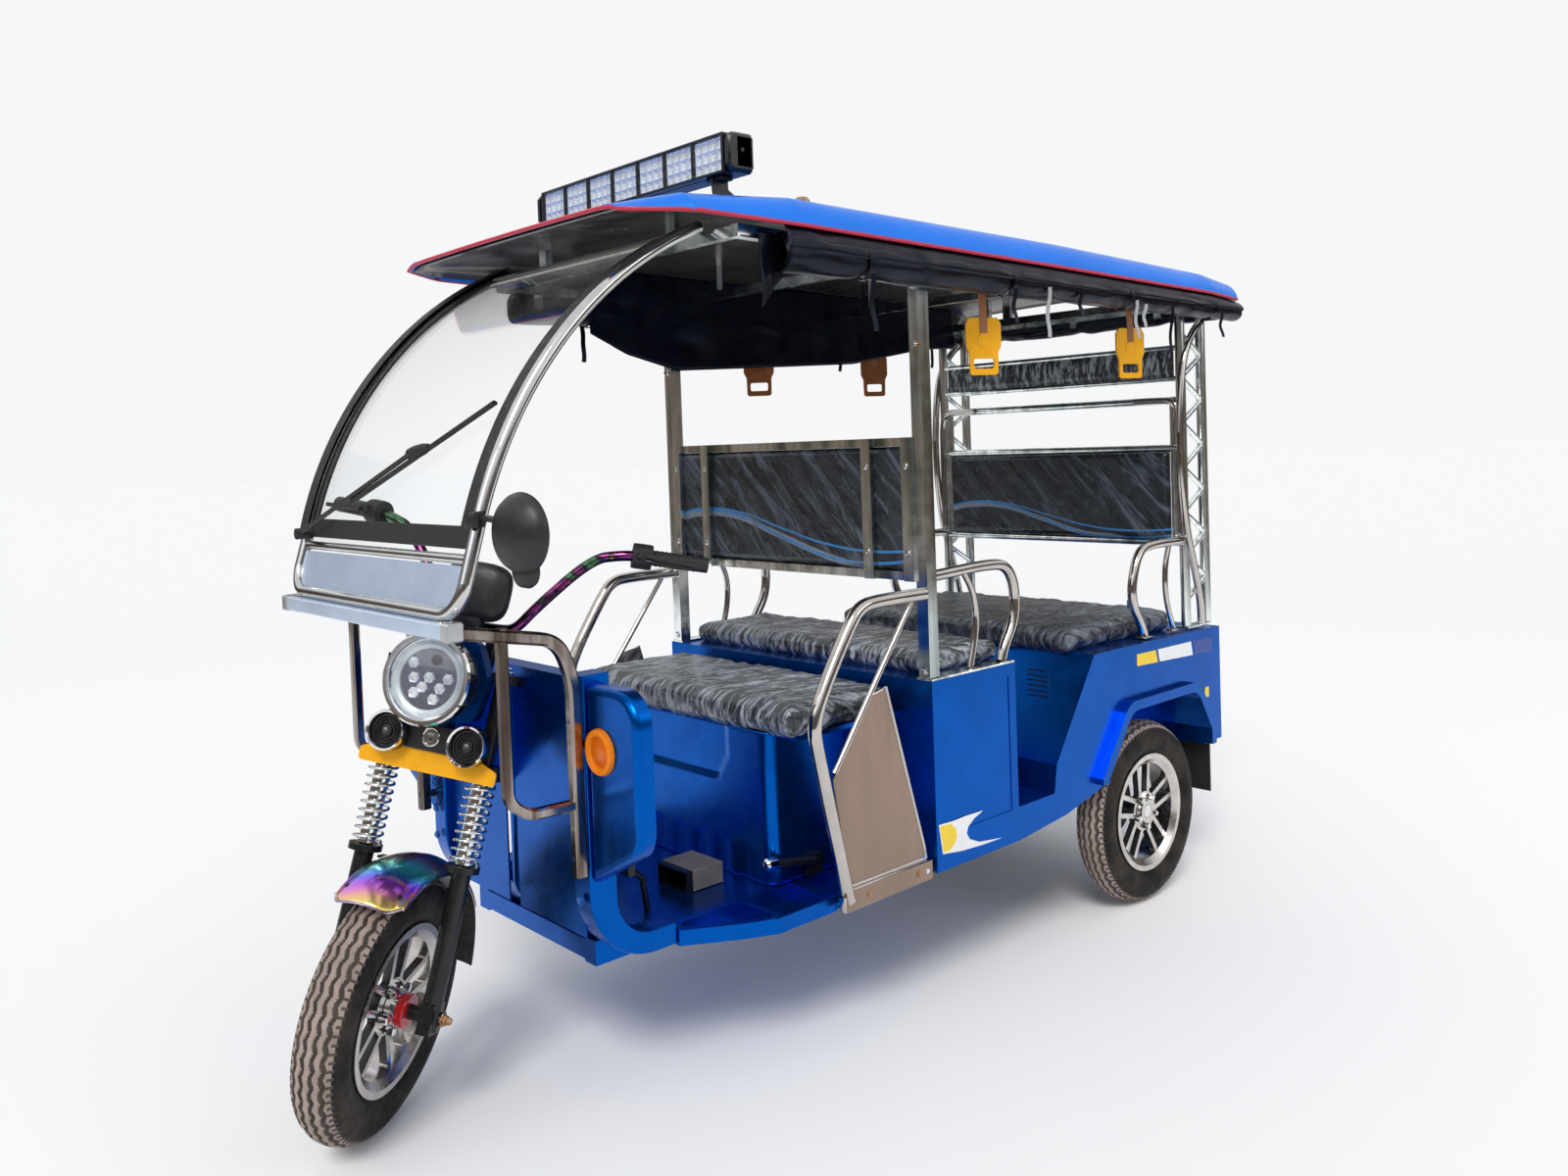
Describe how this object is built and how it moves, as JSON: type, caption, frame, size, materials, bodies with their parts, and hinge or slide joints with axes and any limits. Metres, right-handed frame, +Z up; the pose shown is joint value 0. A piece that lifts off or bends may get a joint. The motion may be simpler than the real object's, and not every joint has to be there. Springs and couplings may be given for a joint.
{
  "type": "electric rickshaw",
  "caption": "Three-wheeled electric passenger rickshaw with a steering fork, facing passenger benches, tube canopy frame and roof with rolled curtains.",
  "frame": {"origin": "bottom centre of the bounding box, on the ground between the wheels", "axes": "+X to the vehicle's left, -Y forward, +Z up"},
  "size_m": [1.0959, 2.7034, 1.938],
  "materials": {
    "body_paint": "gloss metallic blue",
    "stainless": "polished stainless tube",
    "black_metal": "satin black",
    "cast": "painted casting",
    "chrome": "bright",
    "alloy": "polished face, dark pockets",
    "tyre": "matt",
    "rubber": "matt",
    "vinyl": "black vinyl under clear film",
    "curtain": "black coated cloth",
    "plastic": "textured black",
    "yellow": "yellow",
    "orange": "orange",
    "glass": "clear",
    "lamp": "clear lens over reflectors",
    "visor": "satin sheet",
    "rainbow": "iridescent",
    "battery": "plain"
  },
  "bodies": {
    "body": {"backrest_pads": "vinyl", "battery_pack": "battery", "canopy_frame": "stainless", "chassis_frame": "body_paint", "drive_motor": "cast", "floor_pan": "body_paint", "foot_controls": "black_metal", "front_guard": "stainless", "front_shield": "body_paint", "grab_rails": "stainless", "hanging_grips": "yellow", "leaf_springs": "black_metal", "light_bar": "black_metal", "mirror": "plastic", "mudflaps": "rubber", "rear_axle": "cast", "rear_bumper": "stainless", "rear_tub": "body_paint", "rolled_curtains": "curtain", "roof_shell": "body_paint", "seat_boxes": "body_paint", "seat_cushions": "vinyl", "signal_lamps": "orange", "visor_panel": "visor", "windscreen_frame": "stainless", "windscreen_glass": "glass", "wiper": "plastic"},
    "fork": {"fork_legs": "black_metal", "fork_springs": "chrome", "fork_crown": "black_metal", "clamp_cover": "yellow", "horns": "plastic", "headlight": "lamp", "headlight_cowl": "body_paint", "handlebar": "rainbow", "grips": "rubber", "instrument_pod": "plastic", "front_fender": "rainbow", "front_mudflap": "rubber"},
    "front_wheel": {"front_tyre": "tyre", "front_rim": "alloy"},
    "rear_left_wheel": {"rear_left_tyre": "tyre", "rear_left_rim": "alloy"},
    "rear_right_wheel": {"rear_right_tyre": "tyre", "rear_right_rim": "alloy"}
  },
  "joints": [
    {"name": "steering", "type": "hinge", "parent": "body", "child": "fork", "pos_m": [0, -1.11551, 0.23803], "axis": [0, 0.2924, 0.9563], "range_deg": [-75, 1.5]},
    {"name": "front_wheel_spin", "type": "hinge", "parent": "fork", "child": "front_wheel", "pos_m": [0.01805, -1.13842, 0.24504], "axis": [0.7986, 0.5755, -0.176], "continuous": true},
    {"name": "rear_left_wheel_spin", "type": "hinge", "parent": "body", "child": "rear_left_wheel", "pos_m": [0.431, 0.8708, 0.24814], "axis": [1, 0, 0], "continuous": true},
    {"name": "rear_right_wheel_spin", "type": "hinge", "parent": "body", "child": "rear_right_wheel", "pos_m": [-0.431, 0.8708, 0.24814], "axis": [1, 0, 0], "continuous": true}
  ]
}
